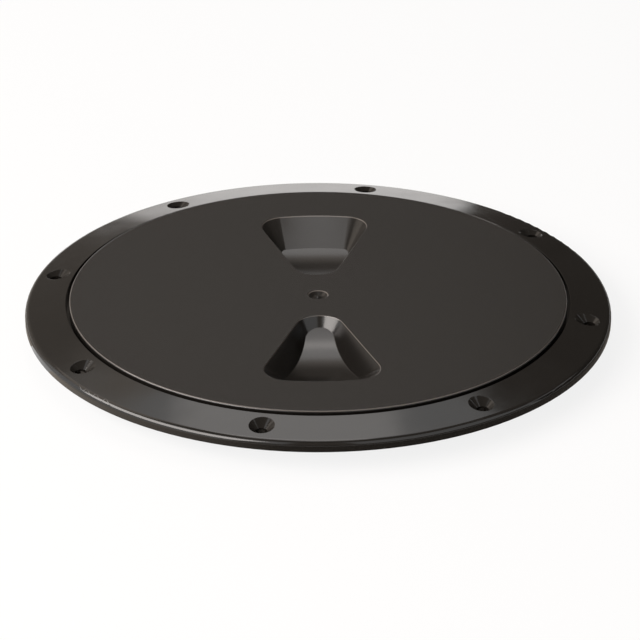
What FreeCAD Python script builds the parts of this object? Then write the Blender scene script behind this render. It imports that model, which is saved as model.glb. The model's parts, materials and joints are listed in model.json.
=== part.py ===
import FreeCAD, Part
import math
import os

# A flush deck inspection plate: a mounting ring that is screwed to the deck, a round cover that
# turns into it on a coarse thread, and the rubber seal between them.
# Lengths are millimetres, angles are degrees, +Z is up and away from the deck. The origin is on
# the deck surface, at the centre of the circle of screw holes. The finger wells lie along Y.

# Mounting ring, flange
ring_outer_radius = 160.0
flange_width = 22.3          # from the outer edge to the cover's recess
flange_height = 8.5          # at its inner edge, above the deck
flange_fall = 3.3            # how much lower the top is at the outer edge
flange_edge_round = 3.0
flange_wall = 2.8            # top skin and outer wall over the cored underside
opening_edge_round = 0.3
opening_wall = 3.4           # upright wall between the cover's recess and the cored underside

# Screw holes
screw_count = 8
screw_edge_distance = 11.2   # from the flange's outer edge to the screws' circle
first_screw_angle = -12.4
screw_hole_radius = 3.1
countersink_radius = 6.45
countersink_half_angle = 52.0
countersink_edge_round = 0.25
boss_wall = 1.6              # left round a countersink's mouth

# Ribs under the flange, between the screw bosses
ribs_between_bosses = 3
flange_rib_width = 2.0
flange_rib_lift = 0.5        # ribs stop short of the deck
rib_root = 1.0               # how far a rib is rooted in the walls that it joins

# Collar below the deck
collar_inset = 2.8           # its outside lies this far inside the recess's wall
collar_depth = 11.5
collar_wall = 3.5
collar_edge_round = 0.8

# Cover
cover_gap = 1.8              # round the cover's edge
cover_top_drop = 0.3         # of the middle of the cover, below the flange's inner edge
cover_dish = 1.6             # how far the edge stands above the middle of the dished top
cover_plate = 3.5            # thickness in the middle
cover_edge_round = 1.0
cover_under_round = 0.4
cover_ledge_gap = 0.3        # between the cover's plate and the ring's ledge
neck_step = 0.7              # the neck stands out this far from the skirt
skirt_wall = 3.2
skirt_shortfall = 0.6        # the skirt ends this far above the collar's lower end
skirt_edge_round = 0.8
lip_height = 0.8             # of the lip that keeps the seal on the neck

# Seal
seal_section = 4.0
seal_gap = 0.3               # round the seal's section, on every side

# Thread, right-handed, one start
thread_lead = 4.0
thread_height = 2.2
thread_root_width = 2.4
thread_crest_width = 1.0
thread_turns = 1.5
thread_clearance = 0.6       # between a crest and the wall that it faces
thread_root_overlap = 0.4    # how far a ridge is rooted in its wall
thread_end_margin = 0.5      # below the lowest ridge
cover_thread_start = 0.0
ring_thread_start = 180.0    # half a turn on, so that the ridges lie midway between each other

# Finger wells
well_half_angle = 18.8
well_side_offset = 0.7       # the lines of the side walls pass this far outside the plate's axis
well_narrow_centre = 38.5    # centre of the round inner end
well_outer_radius = 101.1
well_corner_radius = 12.4    # of the outer corners, at the top
well_floor_corner_radius = 2.5
well_side_draft = 0.58       # inward run of the side walls for each millimetre of depth
well_outer_draft = 1.82      # the same for the sloping outer wall
well_outer_flattening = 0.3  # its radius grows by this part of itself for each millimetre of depth
well_depth = 12.7
well_floor_rise = 8.87       # the scooped floor rises this much towards the well's two ends
well_lowest_offset = -0.5    # of the deepest point, from the middle of the well's length
well_wall = 2.5
well_rim_round = 0.35
well_floor_round = 0.5
well_loft_spare = 1.0        # the walls are drawn this far past the floor and the dished top

# Gate mark in the middle of the cover
gate_radius = 5.7
gate_floor_radius = 3.0
gate_depth = 1.7
gate_edge_round = 0.5
gate_stub_radius = 1.5
gate_stub_top_radius = 1.1
gate_stub_height = 1.0
gate_boss_wall = 2.6

# Ribs under the cover
cover_rib_count = 12
cover_rib_width = 2.0
cover_rib_height = 5.0

# For telling faces and edges apart
tolerance = 0.001

# Sizes that follow from those above
cover_opening_radius = ring_outer_radius - flange_width
screw_circle_radius = ring_outer_radius - screw_edge_distance
collar_radius = cover_opening_radius - collar_inset
flange_slope = flange_fall / flange_width
cored_inner_radius = cover_opening_radius + opening_wall
cored_outer_radius = ring_outer_radius - flange_wall
cover_top = flange_height - cover_top_drop
cover_underside = cover_top - cover_plate
cover_radius = cover_opening_radius - cover_gap
dish_radius = (cover_radius ** 2 + cover_dish ** 2) / (2 * cover_dish)
ledge_height = cover_underside - cover_ledge_gap
seal_top = cover_underside - seal_gap
seal_bottom = seal_top - seal_section
lip_top = seal_bottom - seal_gap
seat_floor = seal_bottom - seal_gap
lip_bottom = lip_top - lip_height
skirt_bottom = skirt_shortfall - collar_depth
bore_radius = collar_radius - collar_wall
ring_crest_radius = bore_radius - thread_height
skirt_radius = ring_crest_radius - thread_clearance
skirt_inner_radius = skirt_radius - skirt_wall
lip_radius = bore_radius - seal_gap
neck_radius = skirt_radius + neck_step
seal_ring_radius = neck_radius + seal_gap + seal_section / 2
seat_radius = seal_ring_radius + seal_section / 2 + seal_gap
first_ridge_height = skirt_bottom + thread_end_margin + thread_root_width / 2
well_narrow_tip = well_narrow_centre * (1 - math.sin(math.radians(well_half_angle))) - well_side_offset
well_half_length = (well_outer_radius - well_narrow_tip) / 2
well_lowest = well_narrow_tip + well_half_length + well_lowest_offset
well_floor_radius = (well_half_length ** 2 + well_floor_rise ** 2) / (2 * well_floor_rise)
gate_floor = cover_top - gate_depth
gate_stub_top = gate_floor + gate_stub_height
ring_rib_radius = (well_outer_radius + skirt_inner_radius - cover_rib_width) / 2


def at_angle(radius, angle, height=0.0):
    """A point at a radius and an angle round the plate's axis."""
    turn = math.radians(angle)
    return FreeCAD.Vector(radius * math.cos(turn), radius * math.sin(turn), height)


def rounded_wire(corners):
    """A closed wire through (radius, height, rounding) corners, in the XZ plane.

    A fourth value is a point that the side after the corner passes through, as an arc.
    """
    points = [FreeCAD.Vector(corner[0], 0, corner[1]) for corner in corners]
    stretches = []
    for index, (point, corner) in enumerate(zip(points, corners)):
        rounding = corner[2]
        before = (points[index - 1] - point).normalize()
        after = (points[(index + 1) % len(points)] - point).normalize()
        if rounding == 0:
            stretches.append((point, None, point))
            continue
        half = before.getAngle(after) / 2
        inward = (before + after).normalize()
        centre = point + inward * (rounding / math.sin(half))
        start = point + before * (rounding / math.tan(half))
        end = point + after * (rounding / math.tan(half))
        middle = centre - inward * rounding
        stretches.append((start, middle, end))
    edges = []
    for index, (start, middle, end) in enumerate(stretches):
        if middle is not None:
            edges.append(Part.Arc(start, middle, end).toShape())
        following = stretches[(index + 1) % len(stretches)][0]
        if len(corners[index]) == 4:
            radius, height = corners[index][3]
            edges.append(Part.Arc(end, FreeCAD.Vector(radius, 0, height), following).toShape())
        else:
            edges.append(Part.makeLine(end, following))
    return Part.Wire(edges)


def turned(corners):
    """The solid that a rounded outline makes when it is turned about the plate's axis."""
    face = Part.Face(rounded_wire(corners))
    return face.revolve(FreeCAD.Vector(0, 0, 0), FreeCAD.Vector(0, 0, 1), 360)


def flange_top(radius):
    """Height of the flange's sloping top at a radius."""
    return flange_height - (radius - cover_opening_radius) * flange_slope


def dished_top(radius):
    """Height of the cover's dished top at a radius."""
    return cover_top + dish_radius - math.sqrt(dish_radius ** 2 - radius ** 2)


def radial_rib(inner, outer, width, bottom, top, angle):
    """An upright flat rib between two radii."""
    rib = Part.makeBox(outer - inner, width, top - bottom, FreeCAD.Vector(inner, -width / 2, bottom))
    rib.rotate(FreeCAD.Vector(0, 0, 0), FreeCAD.Vector(0, 0, 1), angle)
    return rib


def thread_ridge(wall_radius, outward, start_angle):
    """One start of the thread, rooted in a wall, from its lowest point upwards."""
    root = wall_radius - outward * thread_root_overlap
    crest = wall_radius + outward * thread_height
    half_root = thread_root_width / 2
    half_crest = thread_crest_width / 2
    corners = [(root, -half_root), (crest, -half_crest), (crest, half_crest), (root, half_root)]
    points = [FreeCAD.Vector(r, 0, z) for r, z in corners]
    section = Part.makePolygon(points + points[:1])
    path = Part.makeHelix(thread_lead, thread_turns * thread_lead, wall_radius)
    ridge = Part.Wire(path.Edges).makePipeShell([section], True, True)
    ridge.translate(FreeCAD.Vector(0, 0, first_ridge_height))
    ridge.rotate(FreeCAD.Vector(0, 0, 0), FreeCAD.Vector(0, 0, 1), start_angle)
    return ridge


def well_outline(depth, wall):
    """The fan-shaped outline of a finger well at a depth, grown outwards by a wall."""
    half_angle = math.radians(well_half_angle)
    side_wall = wall * math.hypot(1, well_side_draft)
    outer_wall = wall * math.hypot(1, well_outer_draft)
    inset = well_side_draft * depth - side_wall - well_side_offset
    outer = well_outer_radius - well_outer_draft * depth + outer_wall
    corner_fall = (well_corner_radius - well_floor_corner_radius) / well_depth
    corner = well_corner_radius - corner_fall * depth + side_wall
    arc_radius = outer * (1 + well_outer_flattening * max(depth, 0.0))
    arc_centre = FreeCAD.Vector(0, outer - arc_radius, 0)
    across = FreeCAD.Vector(math.cos(half_angle), -math.sin(half_angle), 0)
    along = FreeCAD.Vector(math.sin(half_angle), math.cos(half_angle), 0)
    height = FreeCAD.Vector(0, 0, cover_top - depth)

    narrow_radius = well_narrow_centre * math.sin(half_angle) - inset
    narrow_centre = FreeCAD.Vector(0, well_narrow_centre, 0)
    narrow_end = narrow_centre + across * narrow_radius
    narrow_tip = FreeCAD.Vector(0, well_narrow_centre - narrow_radius, 0)

    offset = across * -(inset + corner) - arc_centre
    behind = along.dot(offset)
    reach = math.sqrt((arc_radius - corner) ** 2 + behind ** 2 - offset.dot(offset)) - behind
    corner_centre = along * reach - across * (inset + corner)
    side_end = corner_centre + across * corner
    outer_end = arc_centre + (corner_centre - arc_centre) * (arc_radius / (arc_radius - corner))
    corner_middle = corner_centre + ((side_end + outer_end) / 2 - corner_centre).normalize() * corner
    outer_tip = FreeCAD.Vector(0, outer, 0)

    def mirrored(point):
        return FreeCAD.Vector(-point.x, point.y, point.z)

    def placed(point):
        return point + height

    edges = [
        Part.Arc(placed(mirrored(narrow_end)), placed(narrow_tip), placed(narrow_end)).toShape(),
        Part.makeLine(placed(narrow_end), placed(side_end)),
        Part.Arc(placed(side_end), placed(corner_middle), placed(outer_end)).toShape(),
        Part.Arc(placed(outer_end), placed(outer_tip), placed(mirrored(outer_end))).toShape(),
        Part.Arc(placed(mirrored(outer_end)), placed(mirrored(corner_middle)),
                 placed(mirrored(side_end))).toShape(),
        Part.makeLine(placed(mirrored(side_end)), placed(mirrored(narrow_end))),
    ]
    return Part.Wire(edges)


def well_form(wall, top_depth):
    """A well's space, or with a wall the body round it, from a depth down to the scooped floor."""
    lowest = well_depth + wall + well_loft_spare
    sides = Part.makeLoft([well_outline(top_depth, wall), well_outline(lowest, wall)], True, True)
    radius = well_floor_radius + wall
    reach = 2 * well_outer_radius
    scoop = Part.makeCylinder(radius, reach, FreeCAD.Vector(-reach / 2, 0, 0), FreeCAD.Vector(1, 0, 0))
    scoop.translate(FreeCAD.Vector(0, well_lowest, cover_top - well_depth + well_floor_radius))
    return sides.common(scoop), radius


def well_space():
    """The hollow of a finger well, with a rounded edge all round its floor."""
    space, floor_radius = well_form(0.0, -cover_dish - well_loft_spare)
    for face in space.Faces:
        if isinstance(face.Surface, Part.Cylinder) and abs(face.Surface.Radius - floor_radius) < tolerance:
            return space.makeFillet(well_floor_round, face.Edges)


def mouth_edges(solid, lowest):
    """The edges of the mouths in a top that lies above a height: its outlines beside the plate's axis."""
    top_faces = [face for face in solid.Faces if face.BoundBox.ZMin > lowest]
    outlines = [wire for face in top_faces for wire in face.Wires]
    centres = [wire.BoundBox.Center for wire in outlines]
    beside = [wire for wire, centre in zip(outlines, centres) if math.hypot(centre.x, centre.y) > gate_radius]
    return [edge for wire in beside for edge in wire.Edges]


def opposite(shape):
    """A copy turned half a turn round the plate's axis."""
    copy = shape.copy()
    copy.rotate(FreeCAD.Vector(0, 0, 0), FreeCAD.Vector(0, 0, 1), 180)
    return copy


def build_ring():
    """The mounting ring: flange, seat, collar and internal thread in one moulding."""
    corner_height = flange_top(ring_outer_radius)
    ring = turned([
        (ring_outer_radius, 0, 0),
        (ring_outer_radius, corner_height, flange_edge_round),
        (cover_opening_radius, flange_height, opening_edge_round),
        (cover_opening_radius, ledge_height, 0),
        (seat_radius, ledge_height, 0),
        (seat_radius, seat_floor, 0),
        (bore_radius, seat_floor, 0),
        (bore_radius, -collar_depth, 0),
        (collar_radius, -collar_depth, collar_edge_round),
        (collar_radius, 0, 0),
    ])

    skin = flange_wall * math.hypot(1, flange_slope)
    hollow = turned([
        (cored_inner_radius, 0, 0),
        (cored_outer_radius, 0, 0),
        (cored_outer_radius, flange_top(cored_outer_radius) - skin, 0),
        (cored_inner_radius, flange_top(cored_inner_radius) - skin, 0),
    ])
    hole_spacing = 360 / screw_count
    rib_spacing = hole_spacing / (ribs_between_bosses + 1)
    kept = []
    for hole in range(screw_count):
        angle = first_screw_angle + hole * hole_spacing
        boss_radius = countersink_radius + boss_wall
        kept.append(Part.makeCylinder(boss_radius, flange_height, at_angle(screw_circle_radius, angle)))
        for rib in range(ribs_between_bosses):
            kept.append(radial_rib(cored_inner_radius - rib_root, cored_outer_radius + rib_root,
                                   flange_rib_width, flange_rib_lift, flange_height,
                                   angle + (rib + 1) * rib_spacing))
    ring = ring.cut(hollow.cut(kept))

    mouth_height = flange_top(screw_circle_radius)
    spread = math.tan(math.radians(countersink_half_angle))
    sink_depth = (countersink_radius - screw_hole_radius) / spread
    for hole in range(screw_count):
        centre = at_angle(screw_circle_radius, first_screw_angle + hole * hole_spacing)
        up = FreeCAD.Vector(0, 0, 1)
        ring = ring.cut(Part.makeCylinder(screw_hole_radius, flange_height, centre))
        cone = Part.makeCone(screw_hole_radius, countersink_radius + flange_fall * spread,
                             sink_depth + flange_fall, centre + up * (mouth_height - sink_depth))
        ring = ring.cut(cone)
    ring = ring.makeFillet(countersink_edge_round, mouth_edges(ring, corner_height))

    return ring.fuse(thread_ridge(bore_radius, -1, ring_thread_start))


def build_cover():
    """The cover: plate, neck, skirt, external thread, finger wells and ribs in one moulding."""
    halfway = (cover_radius / 2, dished_top(cover_radius / 2))
    cover = turned([
        (0, cover_underside, 0),
        (skirt_inner_radius, cover_underside, 0),
        (skirt_inner_radius, skirt_bottom, skirt_edge_round),
        (skirt_radius, skirt_bottom, skirt_edge_round),
        (skirt_radius, lip_bottom, 0),
        (lip_radius, lip_bottom, 0),
        (lip_radius, lip_top, 0),
        (neck_radius, lip_top, 0),
        (neck_radius, cover_underside, 0),
        (cover_radius, cover_underside, cover_under_round),
        (cover_radius, dished_top(cover_radius), cover_edge_round, halfway),
        (gate_radius, dished_top(gate_radius), gate_edge_round),
        (gate_floor_radius, gate_floor, 0),
        (gate_stub_radius, gate_floor, 0),
        (gate_stub_top_radius, gate_stub_top, 0),
        (0, gate_stub_top, 0),
    ])

    rib_bottom = cover_underside - cover_rib_height
    ribs = []
    for rib in range(cover_rib_count):
        angle = (rib + 0.5) * 360 / cover_rib_count
        ribs.append(radial_rib(gate_radius, skirt_inner_radius + rib_root, cover_rib_width,
                               rib_bottom, cover_underside + rib_root, angle))
    ribs.append(turned([
        (ring_rib_radius, rib_bottom, 0),
        (ring_rib_radius + cover_rib_width, rib_bottom, 0),
        (ring_rib_radius + cover_rib_width, cover_underside + rib_root, 0),
        (ring_rib_radius, cover_underside + rib_root, 0),
    ]))
    gate_boss = Part.makeCylinder(gate_radius + gate_boss_wall, cover_rib_height + rib_root,
                                  FreeCAD.Vector(0, 0, rib_bottom))
    shell = well_form(well_wall, well_rim_round)[0]
    cover = cover.fuse(ribs + [gate_boss, shell, opposite(shell)])

    space = well_space()
    cover = cover.cut([space, opposite(space)])
    cover = cover.makeFillet(well_rim_round, mouth_edges(cover, cover_top - gate_edge_round / 2))
    return cover.fuse(thread_ridge(skirt_radius, 1, cover_thread_start))


def build_seal():
    """The rubber ring in the groove of the cover's neck."""
    centre = FreeCAD.Vector(0, 0, seal_bottom + seal_section / 2)
    return Part.makeTorus(seal_ring_radius, seal_section / 2, centre)


def save(name, shape):
    """Write one piece and say what was made."""
    box = shape.BoundBox
    print(name, "solids", len(shape.Solids), "valid", shape.isValid(), "volume", round(shape.Volume),
          "x", round(box.XMin, 2), round(box.XMax, 2), "z", round(box.ZMin, 2), round(box.ZMax, 2))
    shape.exportStep(os.path.join("parts", name + ".step"))


os.makedirs("parts", exist_ok=True)
save("mounting_ring", build_ring())
save("cover", build_cover())
save("o_ring_seal", build_seal())
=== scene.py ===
# %% [markdown]
# A black plastic deck inspection plate, dressed and lit.
# The plate has three pieces: a mounting ring that is screwed to the deck, a round cover that turns
# into it, and the rubber seal between them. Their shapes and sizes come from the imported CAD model,
# in metres, with +Z up and the deck at z = 0. This file adds what the CAD model can't hold: the
# finish of each moulded surface, the studio light that a black plastic needs to be read at all, and
# the camera.

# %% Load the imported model
import json
import math

import bpy
import numpy as np
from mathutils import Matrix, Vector

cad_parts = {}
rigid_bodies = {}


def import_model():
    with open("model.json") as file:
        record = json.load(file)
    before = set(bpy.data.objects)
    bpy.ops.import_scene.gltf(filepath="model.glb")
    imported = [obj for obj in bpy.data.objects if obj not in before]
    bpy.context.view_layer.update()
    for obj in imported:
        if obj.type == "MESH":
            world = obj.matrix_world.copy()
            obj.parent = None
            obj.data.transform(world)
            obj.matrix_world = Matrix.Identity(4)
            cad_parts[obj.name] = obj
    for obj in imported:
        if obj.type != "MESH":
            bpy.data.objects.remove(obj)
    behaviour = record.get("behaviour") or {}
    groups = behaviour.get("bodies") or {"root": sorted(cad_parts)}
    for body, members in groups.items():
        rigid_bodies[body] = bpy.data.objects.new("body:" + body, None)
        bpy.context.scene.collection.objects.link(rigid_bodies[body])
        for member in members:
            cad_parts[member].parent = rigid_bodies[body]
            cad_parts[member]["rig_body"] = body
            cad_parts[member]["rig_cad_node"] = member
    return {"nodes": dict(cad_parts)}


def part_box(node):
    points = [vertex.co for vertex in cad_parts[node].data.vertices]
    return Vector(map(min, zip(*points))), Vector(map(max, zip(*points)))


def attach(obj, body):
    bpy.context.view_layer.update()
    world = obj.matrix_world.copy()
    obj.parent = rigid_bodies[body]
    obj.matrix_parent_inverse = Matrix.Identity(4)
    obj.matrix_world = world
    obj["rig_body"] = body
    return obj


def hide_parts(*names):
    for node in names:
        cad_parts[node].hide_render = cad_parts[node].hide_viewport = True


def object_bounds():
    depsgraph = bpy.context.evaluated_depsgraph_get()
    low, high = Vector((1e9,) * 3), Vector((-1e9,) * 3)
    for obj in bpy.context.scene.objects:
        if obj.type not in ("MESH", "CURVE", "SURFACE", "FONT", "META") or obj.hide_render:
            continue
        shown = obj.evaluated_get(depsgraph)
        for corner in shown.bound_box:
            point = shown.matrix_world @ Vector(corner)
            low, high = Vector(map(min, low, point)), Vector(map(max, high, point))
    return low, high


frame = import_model()
cad_low, cad_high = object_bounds()
MM = 0.001
print("pieces:", sorted(frame["nodes"]), "box in mm:", [round(v / MM, 1) for v in (*cad_low, *cad_high)])

# %% [markdown]
# Colours are written as sRGB hex values, as a colour picker shows them, because those are easy to
# compare with a sample. Shaders calculate with linear light, so one function turns each channel.
# A second small function adds one node with its values and links, so that each material below reads
# as a list of what it is made of.

# %% Colour and node helpers
def linear(hex_colour):
    """An sRGB hex value such as "#1f1d1b" as linear red, green, blue and full alpha."""
    channels = [int(hex_colour[at:at + 2], 16) / 255 for at in (1, 3, 5)]
    return [c / 12.92 if c <= 0.04045 else ((c + 0.055) / 1.055) ** 2.4 for c in channels] + [1.0]


def add_node(tree, kind, inputs=None, **settings):
    """Adds a node. Each input is a value, or the output socket of another node to link from."""
    node = tree.nodes.new(kind)
    for setting, value in settings.items():
        setattr(node, setting, value)
    for socket, value in (inputs or {}).items():
        if isinstance(value, bpy.types.NodeSocket):
            tree.links.new(value, node.inputs[socket])
        else:
            node.inputs[socket].default_value = value
    return node


def new_material(name):
    """An empty node material with its output node."""
    material = bpy.data.materials.new(name)
    material.use_nodes = True
    material.node_tree.nodes.clear()
    return material, material.node_tree, add_node(material.node_tree, "ShaderNodeOutputMaterial")


print("a near black in linear light:", [round(c, 4) for c in linear("#1b1a18")[:3]])

# %% [markdown]
# The ring is black ABS, injection moulded against polished steel. That gives the eye a deep black
# with a clear reflection. Moulded skins have sink and flow in them, some centimetres long, which
# makes the reflection's borders a little wavy, and handling leaves them duller here and there. How
# high the wave is was chosen. ABS has an IOR of about 1.53. The wave is a bump and the
# dullness is roughness, both from noise, so that neither repeats round the ring.

# %% Polished moulded ABS for the ring
flow_length = 34 * MM
flow_height = 0.22 * MM
handling_patch = 14 * MM
polished_abs, tree, output = new_material("polished_black_abs")
place = add_node(tree, "ShaderNodeTexCoord")
flow = add_node(tree, "ShaderNodeTexNoise", {"Vector": place.outputs["Object"], "Scale": 1 / flow_length,
                                             "Detail": 1.0})
patches = add_node(tree, "ShaderNodeTexNoise", {"Vector": place.outputs["Object"],
                                                "Scale": 1 / handling_patch, "Detail": 5.0})
dullness = add_node(tree, "ShaderNodeMapRange", {"Value": patches.outputs["Fac"], "From Min": 0.4,
                                                 "From Max": 0.75, "To Min": 0.1, "To Max": 0.14})
wave = add_node(tree, "ShaderNodeBump", {"Height": flow.outputs["Fac"], "Distance": flow_height,
                                         "Strength": 1.0})
skin = add_node(tree, "ShaderNodeBsdfPrincipled", {
    "Base Color": linear("#181614"), "IOR": 1.53, "Roughness": dullness.outputs["Result"],
    "Normal": wave.outputs["Normal"]})
tree.links.new(skin.outputs["BSDF"], output.inputs["Surface"])
print("ring finish:", polished_abs.name, "with waves of", round(flow_length / MM), "mm")

# %% [markdown]
# The cover is the same plastic with a more satin top, as if moulded against finely etched steel.
# Such a grain is about a tenth of a millimetre, too fine to show one by one, so it works mostly as a
# softer reflection. It is drawn coarser than that so that it just shows close up. The finger wells
# shine a little more. The top is dished: its height grows with the square of the distance from the
# axis. The mask follows that curve, so that it tells the top from the wells just below it. Between
# the two lies the rounding of each edge, whose reflection of the lamps is a thin bright line. There
# the colour turns lighter, a painted highlight that stands in for it and is picked to be about as bright.
# The photograph shows a thin pale line there, and what makes it isn't known. The lighter colour stands in
# for it and is picked to be about as bright.

# %% Satin moulded ABS for the cover
cover_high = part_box("cover")[1]
dish = 1.6 * MM
cover_middle = cover_high.z - dish
grain = 0.3 * MM
satin_abs, tree, output = new_material("satin_black_abs")
place = add_node(tree, "ShaderNodeTexCoord")
parts = add_node(tree, "ShaderNodeSeparateXYZ", {"Vector": place.outputs["Object"]})
flat_place = add_node(tree, "ShaderNodeCombineXYZ", {"X": parts.outputs["X"], "Y": parts.outputs["Y"]})
from_axis = add_node(tree, "ShaderNodeVectorMath", {0: flat_place.outputs["Vector"]}, operation="LENGTH")
squared = add_node(tree, "ShaderNodeMath", {0: from_axis.outputs["Value"], 1: 2.0}, operation="POWER")
dished = add_node(tree, "ShaderNodeMath", {0: squared.outputs["Value"], 1: dish / cover_high.x ** 2,
                                           2: cover_middle}, operation="MULTIPLY_ADD")
above = add_node(tree, "ShaderNodeMath", {0: parts.outputs["Z"], 1: dished.outputs["Value"]},
                 operation="SUBTRACT")
etched = add_node(tree, "ShaderNodeMapRange", {"Value": above.outputs["Value"], "From Min": -0.12 * MM,
                                               "From Max": -0.02 * MM})
speckle = add_node(tree, "ShaderNodeTexNoise", {"Vector": place.outputs["Object"], "Scale": 1 / grain,
                                                "Detail": 2.0})
grain_depth = add_node(tree, "ShaderNodeMath", {0: speckle.outputs["Fac"], 1: etched.outputs["Result"]},
                       operation="MULTIPLY")
tooth = add_node(tree, "ShaderNodeBump", {"Height": grain_depth.outputs["Value"], "Distance": 0.006 * MM,
                                          "Strength": 1.0})
dullness = add_node(tree, "ShaderNodeMapRange", {"Value": etched.outputs["Result"], "To Min": 0.2,
                                                 "To Max": 0.27})
# Painted highlight: on the roundings just below the top, the colour turns to a lighter grey, drawn in place
# of their bright reflected line.
near_top = add_node(tree, "ShaderNodeMapRange", {"Value": above.outputs["Value"], "From Min": -0.45 * MM,
                                                 "From Max": -0.25 * MM})
painted_edge_highlight = add_node(tree, "ShaderNodeMath", {0: near_top.outputs["Result"], 1: etched.outputs["Result"]},
                     operation="SUBTRACT")
colour = add_node(tree, "ShaderNodeMixRGB", {"Fac": painted_edge_highlight.outputs["Value"],
                                             "Color1": linear("#171513"), "Color2": linear("#645f5b")})
skin = add_node(tree, "ShaderNodeBsdfPrincipled", {
    "Base Color": colour.outputs["Color"], "IOR": 1.53, "Roughness": dullness.outputs["Result"],
    "Normal": tooth.outputs["Normal"]})
tree.links.new(skin.outputs["BSDF"], output.inputs["Surface"])
print("cover finish:", satin_abs.name, "on a top between z =", round(cover_middle / MM, 2), "and",
      round(cover_high.z / MM, 2), "mm")

# %% [markdown]
# The seal is extruded black rubber. Rubber is a softer black than the plastic and has hardly any
# shine, because its skin is full of fine pores.

# %% Extruded rubber for the seal
pore = 0.5 * MM
rubber, tree, output = new_material("black_rubber")
place = add_node(tree, "ShaderNodeTexCoord")
pores = add_node(tree, "ShaderNodeTexNoise", {"Vector": place.outputs["Object"], "Scale": 1 / pore,
                                              "Detail": 2.0})
pitted = add_node(tree, "ShaderNodeBump", {"Height": pores.outputs["Fac"], "Distance": 0.03 * MM,
                                           "Strength": 1.0})
skin = add_node(tree, "ShaderNodeBsdfPrincipled", {
    "Base Color": linear("#191919"), "IOR": 1.5, "Roughness": 0.6, "Normal": pitted.outputs["Normal"]})
tree.links.new(skin.outputs["BSDF"], output.inputs["Surface"])
print("seal finish:", rubber.name)

# %% [markdown]
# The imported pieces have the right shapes, with their roundings, and they are made of small flat faces.
# A renderer hides the faces by blending which way the surface seems to face between their corners. In
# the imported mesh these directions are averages, and a polished rounding shows each one that is a
# little off as a notch in its highlight. The real surfaces are simple: cones, rounded edges, a ball
# shaped dish. So for each of these a small function gives how far a point is from the surface and
# which way the surface faces there. A copy of each piece then gets the exact directions on all the
# faces that lie on one. Its shape stays as it is.

# %% Surfaces of turned and rounded shapes, in millimetres
def unit(vectors):
    """The same directions with length 1."""
    return vectors / np.linalg.norm(vectors, axis=1)[:, None]


def cone(axis, start, end, outward=1):
    """A cone, drum or disc round an upright axis, through two points given as (radius, height)."""
    run, rise = end[0] - start[0], end[1] - start[1]
    length = math.hypot(run, rise)

    def measure(points):
        across = points[:, :2] - axis
        radius = np.linalg.norm(across, axis=1)
        off = ((radius - start[0]) * rise - (points[:, 2] - start[1]) * run) / length
        facing = np.c_[across / np.maximum(radius, 1e-6)[:, None] * rise, np.full(len(points), -run)]
        return off, outward * facing / length
    return measure


def round_edge(ring_radius, height, round_radius):
    """The rounding of a turned edge: a circle of a radius, swept round the plate's axis."""
    def measure(points):
        radius = np.linalg.norm(points[:, :2], axis=1)
        facing = np.c_[points[:, :2] * ((radius - ring_radius) / radius)[:, None], points[:, 2] - height]
        return np.linalg.norm(facing, axis=1) - round_radius, unit(facing)
    return measure


def hollow(centre, radius, along=(1, 1, 1)):
    """The inside of a ball, or with a 0 in along of a drum that lies in that direction."""
    def measure(points):
        facing = (np.array(centre) - points) * along
        return np.linalg.norm(facing, axis=1) - radius, unit(facing)
    return measure


def plane(normal, through):
    """A flat face."""
    direction = np.array(normal) / np.linalg.norm(normal)

    def measure(points):
        return (points - through) @ direction, np.tile(direction, (len(points), 1))
    return measure


print("kinds of surface:", [kind.__name__ for kind in (cone, round_edge, hollow, plane)])

# %% [markdown]
# These are the ring's shiny surfaces: the sloping top, its rounded outer edge, the side, and the
# countersinks with their holes.

# %% Surfaces of the ring
outer_radius, recess_radius, flange_top, flange_fall = 160.0, 137.7, 8.5, 3.3
slope = flange_fall / (outer_radius - recess_radius)
edge_round = 3.0
edge_height = (flange_top - (outer_radius - edge_round - recess_radius) * slope
               - edge_round * math.hypot(1, slope))
ring_surfaces = [cone((0, 0), (outer_radius, flange_top - flange_fall), (recess_radius, flange_top)),
                 round_edge(outer_radius - edge_round, edge_height, edge_round),
                 cone((0, 0), (outer_radius, 0), (outer_radius, 1)),
                 cone((0, 0), (recess_radius, 0), (recess_radius, 1), -1)]
screw_circle, screw_hole, countersink, half_angle = 148.8, 3.1, 6.45, math.radians(52)
mouth_height = flange_top - (screw_circle - recess_radius) * slope
sink_floor = mouth_height - (countersink - screw_hole) / math.tan(half_angle)
for hole in range(8):
    turn = math.radians(-12.4 + 45 * hole)
    middle = np.array((screw_circle * math.cos(turn), screw_circle * math.sin(turn)))
    ring_surfaces.append(cone(middle, (screw_hole, sink_floor), (countersink, mouth_height), -1))
    ring_surfaces.append(cone(middle, (screw_hole, 0), (screw_hole, 1), -1))
print("the outer edge is rounded about a height of", round(edge_height, 2), "mm")

# %% [markdown]
# The cover's are the dished top, its rounded edge, the gate mark, and in each finger well the scooped
# floor, the two flat side walls and the round inner end.

# %% Surfaces of the cover
cover_radius, cover_top, cover_dish, cover_round = 135.9, 8.2, 1.6, 1.0
dish_radius = (cover_radius ** 2 + cover_dish ** 2) / (2 * cover_dish)
dish_centre = cover_top + dish_radius
round_height = dish_centre - math.sqrt((dish_radius + cover_round) ** 2 - (cover_radius - cover_round) ** 2)
cover_surfaces = [hollow((0, 0, dish_centre), dish_radius),
                  round_edge(cover_radius - cover_round, round_height, cover_round)]
gate_radius, gate_floor_radius, gate_floor = 5.7, 3.0, 6.5
stub_radius, stub_top_radius, stub_top = 1.5, 1.1, 7.5
cover_surfaces += [cone((0, 0), (gate_floor_radius, gate_floor), (gate_radius, cover_top), -1),
                   cone((0, 0), (0, gate_floor), (gate_floor_radius, gate_floor), -1),
                   cone((0, 0), (stub_radius, gate_floor), (stub_top_radius, stub_top)),
                   cone((0, 0), (0, stub_top), (stub_top_radius, stub_top), -1)]
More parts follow.
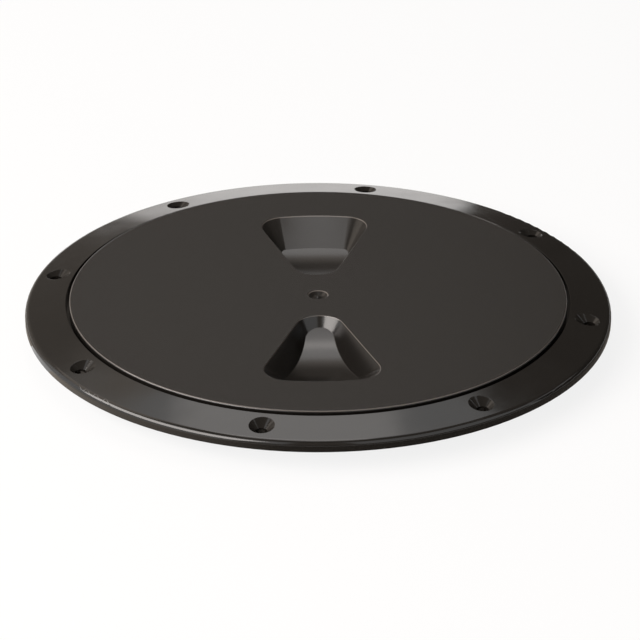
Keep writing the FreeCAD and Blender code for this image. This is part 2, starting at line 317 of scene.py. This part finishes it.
well_turn, side_offset, narrow_centre, side_draft = math.radians(18.8), 0.7, 38.5, 0.58
floor_radius, floor_middle, well_depth = 85.207, 62.746, 12.7
narrow_radius = narrow_centre * math.sin(well_turn) + side_offset
for end in (1, -1):
    cover_surfaces.append(hollow((0, end * floor_middle, cover_top - well_depth + floor_radius),
                                 floor_radius, (0, 1, 1)))
    cover_surfaces.append(cone(np.array((0, end * narrow_centre)), (narrow_radius - side_draft * 10,
                                                                    cover_top - 10),
                               (narrow_radius, cover_top), -1))
    for side in (1, -1):
        across = np.array((side * math.cos(well_turn), -end * math.sin(well_turn), 0))
        cover_surfaces.append(plane((-across[0], -across[1], side_draft),
                                    across * side_offset + np.array((0, 0, cover_top))))
print("the dish is part of a ball of radius", round(dish_radius / 1000, 2), "m")

# %% [markdown]
# Each copy is dressed in its finish. It rides on its piece's body and stands for it, so the cover
# turns and rises with its joints. The seal is hardly seen, so it stays as it came.

# %% Dress the three pieces
def set_true_facing(mesh, surfaces):
    """Gives the corners of the faces on a surface the direction that the surface has there.
    A small rounding between two surfaces takes its direction at each side from the one it meets."""
    points = np.empty(len(mesh.vertices) * 3)
    mesh.vertices.foreach_get("co", points)
    points = points.reshape(-1, 3) / MM
    corners = np.empty(len(mesh.loops), int)
    mesh.loops.foreach_get("vertex_index", corners)
    facing = np.empty(len(mesh.loops) * 3)
    mesh.corner_normals.foreach_get("vector", facing)
    facing = facing.reshape(-1, 3, 3)
    triangles = corners.reshape(-1, 3)
    places = points[triangles]
    flat = unit(np.cross(places[:, 1] - places[:, 0], places[:, 2] - places[:, 0]) + 1e-12)
    done = np.zeros(len(triangles), bool)
    joining = facing.copy()
    for surface in surfaces:
        off, direction = surface(points)
        near = (np.abs(off) < 0.01)[triangles]
        agree = np.einsum("ijk,ik->ij", direction[triangles], flat)
        lying = near.all(axis=1) & (agree > 0.9).all(axis=1)
        facing[lying] = direction[triangles[lying]]
        done |= lying
        edge = near & (agree > 0.6)
        joining[edge] = direction[triangles[edge]]
    facing[~done] = joining[~done]
    mesh.normals_split_custom_set(facing.reshape(-1, 3))
    return int(done.sum())


def stand_in(node, body, name, surfaces):
    """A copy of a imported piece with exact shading, in its place."""
    copy = frame["nodes"][node].copy()
    copy.data = copy.data.copy()
    copy.name = name
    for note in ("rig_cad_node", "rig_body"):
        if note in copy:
            del copy[note]
    copy.parent = None
    bpy.context.scene.collection.objects.link(copy)
    found = set_true_facing(copy.data, surfaces)
    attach(copy, body)
    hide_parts(node)
    print(name, "has", found, "of", len(copy.data.polygons), "faces shaded exactly")
    return copy


pieces = [(stand_in("mounting_ring", "ring", "ring_moulding", ring_surfaces), polished_abs, "ring_plastic"),
          (stand_in("cover", "cover", "cover_moulding", cover_surfaces), satin_abs, "cover_plastic"),
          (frame["nodes"]["o_ring_seal"], rubber, "seal_rubber")]
for piece, finish, slot in pieces:
    piece.data.materials.clear()
    piece.data.materials.append(finish)
    print(piece.name, "is dressed in", finish.name)

# %% [markdown]
# The floor is a plain white sheet. A white sheet under soft lamps isn't quite white to a camera, so
# most of what the camera and the reflections see of it is a glow of strength 1, which is white. The
# rest is a matt paper that the lamps light, and it keeps the soft shadow beside the plate.

# %% Floor
def seen_directly(tree):
    """A socket that is 1 for rays from the camera and in reflections, and 0 for the light's own rays."""
    path = add_node(tree, "ShaderNodeLightPath")
    either = add_node(tree, "ShaderNodeMath", {0: path.outputs["Is Camera Ray"],
                                               1: path.outputs["Is Glossy Ray"]}, operation="MAXIMUM")
    seen = add_node(tree, "ShaderNodeMath", {0: either.outputs["Value"],
                                             1: path.outputs["Is Transmission Ray"]}, operation="MAXIMUM")
    return seen.outputs["Value"]


def flat_sheet(name, corners):
    """A flat stage piece with one face through the given corners."""
    mesh = bpy.data.meshes.new(name)
    mesh.from_pydata(corners, [], [tuple(range(len(corners)))])
    sheet = bpy.data.objects.new(name, mesh)
    bpy.context.scene.collection.objects.link(sheet)
    return sheet


floor_half = 6.0
floor = flat_sheet("floor", [(-floor_half, -floor_half, 0), (floor_half, -floor_half, 0),
                             (floor_half, floor_half, 0), (-floor_half, floor_half, 0)])
floor.location.z = cad_low.z
white_paper, tree, output = new_material("white_paper")
glow_share = add_node(tree, "ShaderNodeMath", {0: seen_directly(tree), 1: 0.85}, operation="MULTIPLY")
paper = add_node(tree, "ShaderNodeBsdfDiffuse", {"Color": linear("#f4f4f4")})
glow = add_node(tree, "ShaderNodeEmission", {"Color": linear("#ffffff"), "Strength": 1.0})
mixed = add_node(tree, "ShaderNodeMixShader", {"Fac": glow_share.outputs["Value"], 1: paper.outputs["BSDF"],
                                               2: glow.outputs["Emission"]})
tree.links.new(mixed.outputs["Shader"], output.inputs["Surface"])
floor.data.materials.append(white_paper)
print("floor at z =", round(floor.location.z / MM, 2), "mm")

# %% [markdown]
# The room is white all round. To the camera and in reflections it has strength 1, which is white. As
# a light it is only a weak fill, because the lamps give most of the light.

# %% World
world = bpy.data.worlds.new("white_room")
bpy.context.scene.world = world
world.use_nodes = True
tree = world.node_tree
tree.nodes.clear()
fill = add_node(tree, "ShaderNodeBackground", {"Color": linear("#ffffff"), "Strength": 0.2})
backdrop = add_node(tree, "ShaderNodeBackground", {"Color": linear("#ffffff"), "Strength": 1.0})
mixed = add_node(tree, "ShaderNodeMixShader", {"Fac": seen_directly(tree), 1: fill.outputs["Background"],
                                               2: backdrop.outputs["Background"]})
output = add_node(tree, "ShaderNodeOutputWorld", {"Surface": mixed.outputs["Shader"]})
print("room fill:", fill.inputs["Strength"].default_value)

# %% [markdown]
# A black glossy thing shows its surroundings more than itself, so its photograph is made with lamps
# and cards that it mirrors. A large softbox at the left front draws the bright lines along the
# rounded edges. Three softboxes overhead behind the plate show in the front of the ring and in the
# wells, and two low panels far behind show in the back of the ring. The brightness of a lamp's face
# is given as so many times white, and its power follows from that and from its size. Places and
# brightnesses are fitted to the photograph's own view. From the right, the cover mirrors the large
# softbox and looks nearly white.

# %% Lamps
def aim(thing, place, target=Vector((0, 0, 0))):
    """Puts a light or the camera somewhere, facing a point."""
    thing.location = place
    thing.rotation_mode = "QUATERNION"
    thing.rotation_quaternion = (Vector(place) - Vector(target)).to_track_quat("Z", "Y")


def around(distance, azimuth, elevation):
    """A point at a distance from the plate's centre. Azimuth 0 is behind the plate, 90 is right."""
    a, e = math.radians(azimuth), math.radians(elevation)
    return Vector((distance * math.sin(a) * math.cos(e), distance * math.cos(a) * math.cos(e),
                   distance * math.sin(e)))


lamp_white = linear("#fff8f3")[:3]


def softbox(name, width, height, brightness, place, target=Vector((0, 0, 0))):
    """A soft rectangular light whose face is so many times as bright as white."""
    lamp = bpy.data.lights.new(name, "AREA")
    lamp.shape = "RECTANGLE"
    lamp.size = width
    lamp.size_y = height
    lamp.color = lamp_white
    lamp.energy = brightness * math.pi * width * height
    light = bpy.data.objects.new(name, lamp)
    bpy.context.scene.collection.objects.link(light)
    light.visible_camera = False
    aim(light, place, target)
    print(name, "at", [round(v, 2) for v in place], "power", round(lamp.energy, 2))
    return light


softbox("key_softbox", 3.0, 1.35, 7.2, around(2.4, -116, 35))
softbox("overhead_softbox", 0.92, 1.6, 0.95, (-0.06, 2.15, 2.6), (-0.06, 2.15, 0))
softbox("overhead_near", 0.95, 1.2, 1.15, (-0.12, 0.75, 2.6), (-0.12, 0.75, 0))
softbox("overhead_core", 0.75, 0.4, 2.6, (-0.12, 1.62, 2.55), (-0.12, 1.62, 0))
softbox("horizon_panel", 0.8, 0.61, 0.97, (0.1, 3.3, 0.305), (0.1, 0, 0.305))
softbox("horizon_panel_left", 0.62, 0.8, 0.97, (-0.61, 3.3, 0.4), (-0.61, 0, 0.4))

# %% [markdown]
# Between the lamps stand cards, which the plate mirrors, and most are dark, so that the plate looks
# black. Each card is a patch of a large ball round the plate and glows evenly or with a fade. Where
# each one lies and how bright it is was fitted so that the plate shows the greys that it has in the
# photograph, so the cards are no record of the real studio. Cards are stage pieces and the camera
# doesn't see them, so that every view keeps its white background.

# %% Cards
card_distance = 3.4


def card(name, azimuths, elevations, brightness, fade=None):
    """A glowing patch between two azimuths and elevations. It is so many times as bright as white.
    With two brightnesses it fades from the first to the second, "across" to the right or "up"."""
    steps = 12
    corners = [around(card_distance, azimuths[0] + (azimuths[1] - azimuths[0]) * i / steps,
                      elevations[0] + (elevations[1] - elevations[0]) * j / steps)
               for j in range(steps + 1) for i in range(steps + 1)]
    row = steps + 1
    faces = [(j * row + i, j * row + i + 1, (j + 1) * row + i + 1, (j + 1) * row + i)
             for j in range(steps) for i in range(steps)]
    mesh = bpy.data.meshes.new(name)
    mesh.from_pydata(corners, [], faces)
    patch = bpy.data.objects.new(name, mesh)
    bpy.context.scene.collection.objects.link(patch)
    patch.visible_camera = False
    # Painted reflection: the card is not a lit felt but a glow, and its strength sets the grey that the
    # plate mirrors from it.
    card_glow, tree, output = new_material("glow_of_" + name)
    glow = add_node(tree, "ShaderNodeEmission", {"Color": linear("#fff2e4"), "Strength": max(brightness)})
    if fade:
        place = add_node(tree, "ShaderNodeTexCoord")
        parts = add_node(tree, "ShaderNodeSeparateXYZ", {"Vector": place.outputs["Object"]})
        along = {"across": "X", "up": "Z"}[fade]
        ends = {"across": (corners[0].x, corners[steps].x), "up": (corners[0].z, corners[-1].z)}[fade]
        ramp = add_node(tree, "ShaderNodeMapRange", {"Value": parts.outputs[along], "From Min": ends[0],
                                                     "From Max": ends[1], "To Min": brightness[0],
                                                     "To Max": brightness[1]})
        tree.links.new(ramp.outputs["Result"], glow.inputs["Strength"])
    tree.links.new(glow.outputs["Emission"], output.inputs["Surface"])
    mesh.materials.append(card_glow)
    print(name, "spans azimuths", azimuths, "and elevations", elevations)


card("back_card", (-17, 15), (10.7, 30), (0.25, 0.06), fade="across")
card("back_card_fading_up", (-17, 15), (30, 41), (0.22, 0.75), fade="up")
card("left_card", (-60, -17), (-1, 36), (0.55, 0.27), fade="across")
card("right_card_low", (9, 15), (-0.1, 10.7), (0.12,))
card("right_card", (15, 95), (-0.1, 27), (0.08,))
card("right_card_middle", (15, 62), (27, 35), (0.1,))
card("right_card_high", (15, 95), (35, 42), (0.12,))
card("right_card_top", (20, 95), (42, 60), (0.2,))
card("left_card_high", (-72, -20), (36, 60), (1.1,))
card("left_card_edge", (-86, -72), (42, 60), (0.3,))
card("top_card", (30, 330), (60, 88), (0.2,))
card("front_card", (168, 193), (14, 60), (0.3,))
card("front_card_low", (100, 212), (-0.1, 16), (0.2,))

# %% [markdown]
# The plate's own shadow darkens the floor close to it, and the rim mirrors that. The glowing floor
# can't show it, so two flat grey cards lie there that only reflections see, the darker one on the
# side away from the large lamp. A dark disc under the plate does the same for the screw holes, which
# look down on the shaded deck.

# %% Shade on the floor
def flat_ring(name, radii, azimuths, height):
    """A flat part of a ring round the axis."""
    steps = 64
    edge = [[Vector((r * math.sin(math.radians(a)), r * math.cos(math.radians(a)), height))
             for a in (azimuths[0] + (azimuths[1] - azimuths[0]) * i / steps for i in range(steps + 1))]
            for r in radii]
    corners = edge[0] + edge[1]
    row = steps + 1
    mesh = bpy.data.meshes.new(name)
    mesh.from_pydata(corners, [], [(i, i + 1, row + i + 1, row + i) for i in range(steps)])
    sheet = bpy.data.objects.new(name, mesh)
    bpy.context.scene.collection.objects.link(sheet)
    return sheet


shade, tree, output = new_material("shade_grey")
place = add_node(tree, "ShaderNodeTexCoord")
parts = add_node(tree, "ShaderNodeSeparateXYZ", {"Vector": place.outputs["Object"]})
lit_side = add_node(tree, "ShaderNodeMapRange", {"Value": parts.outputs["X"], "From Min": -0.14,
                                                 "From Max": -0.03, "To Min": 1.0, "To Max": 0.16})
glow = add_node(tree, "ShaderNodeEmission", {"Color": linear("#fff2e4"),
                                             "Strength": lit_side.outputs["Result"]})
tree.links.new(glow.outputs["Emission"], output.inputs["Surface"])
shaded_floor = flat_ring("shaded_floor", (0.16, 0.32), (25, 250), cad_low.z + 0.6 * MM)
shaded_floor.data.materials.append(shade)
# Painted shade: a near black matt sheet under the plate, seen only in reflections, stands in for the shade
# that the plate casts there.
dark, tree, output = new_material("painted_shade_under_plate")
paper = add_node(tree, "ShaderNodeBsdfDiffuse", {"Color": linear("#0a0a0a")})
tree.links.new(paper.outputs["BSDF"], output.inputs["Surface"])
left_shade, tree, output = new_material("left_shade_grey")
glow = add_node(tree, "ShaderNodeEmission", {"Color": linear("#fff2e4"), "Strength": 0.4})
tree.links.new(glow.outputs["Emission"], output.inputs["Surface"])
shaded_left = flat_ring("shaded_left", (0.16, 0.32), (262, 335), cad_low.z + 0.6 * MM)
shaded_left.data.materials.append(left_shade)
under_plate = flat_ring("under_plate", (0.001, 0.161), (0, 360), cad_low.z + 0.3 * MM)
under_plate.data.materials.append(dark)
for sheet in (shaded_floor, shaded_left, under_plate):
    for rays in ("visible_camera", "visible_diffuse", "visible_transmission", "visible_shadow"):
        setattr(sheet, rays, False)
print("shade lies", [obj.name for obj in (shaded_floor, shaded_left, under_plate)])

# %% [markdown]
# The camera looks at the middle of the plate from a little to the left of the front, at the height and
# with the long lens that put the ring's edges, the screw holes and the finger wells where the
# photograph has them. A small shift of the lens puts the plate a little above the picture's middle.

# %% Camera
camera_distance = 1.437
camera_azimuth = 180 + 1.4
camera_elevation = 26.17
frame_width = 640
focal_pixels = 2624.5
aim_pixel = (318.16, 294.16)
look_at = Vector((0, 0, 8.5 * MM))
camera_data = bpy.data.cameras.new("camera")
camera_data.sensor_width = 36.0
camera_data.lens = focal_pixels / frame_width * camera_data.sensor_width
camera_data.shift_x = (frame_width / 2 - aim_pixel[0]) / frame_width
camera_data.shift_y = (aim_pixel[1] - frame_width / 2) / frame_width
camera_data.clip_end = 50
camera = bpy.data.objects.new("camera", camera_data)
bpy.context.scene.collection.objects.link(camera)
aim(camera, look_at + around(camera_distance, camera_azimuth, camera_elevation), look_at)
bpy.context.scene.camera = camera
bpy.context.scene.view_settings.view_transform = "Standard"
print("lens", round(camera_data.lens, 1), "mm, shift", round(camera_data.shift_x, 4),
      round(camera_data.shift_y, 4))

# %% [markdown]
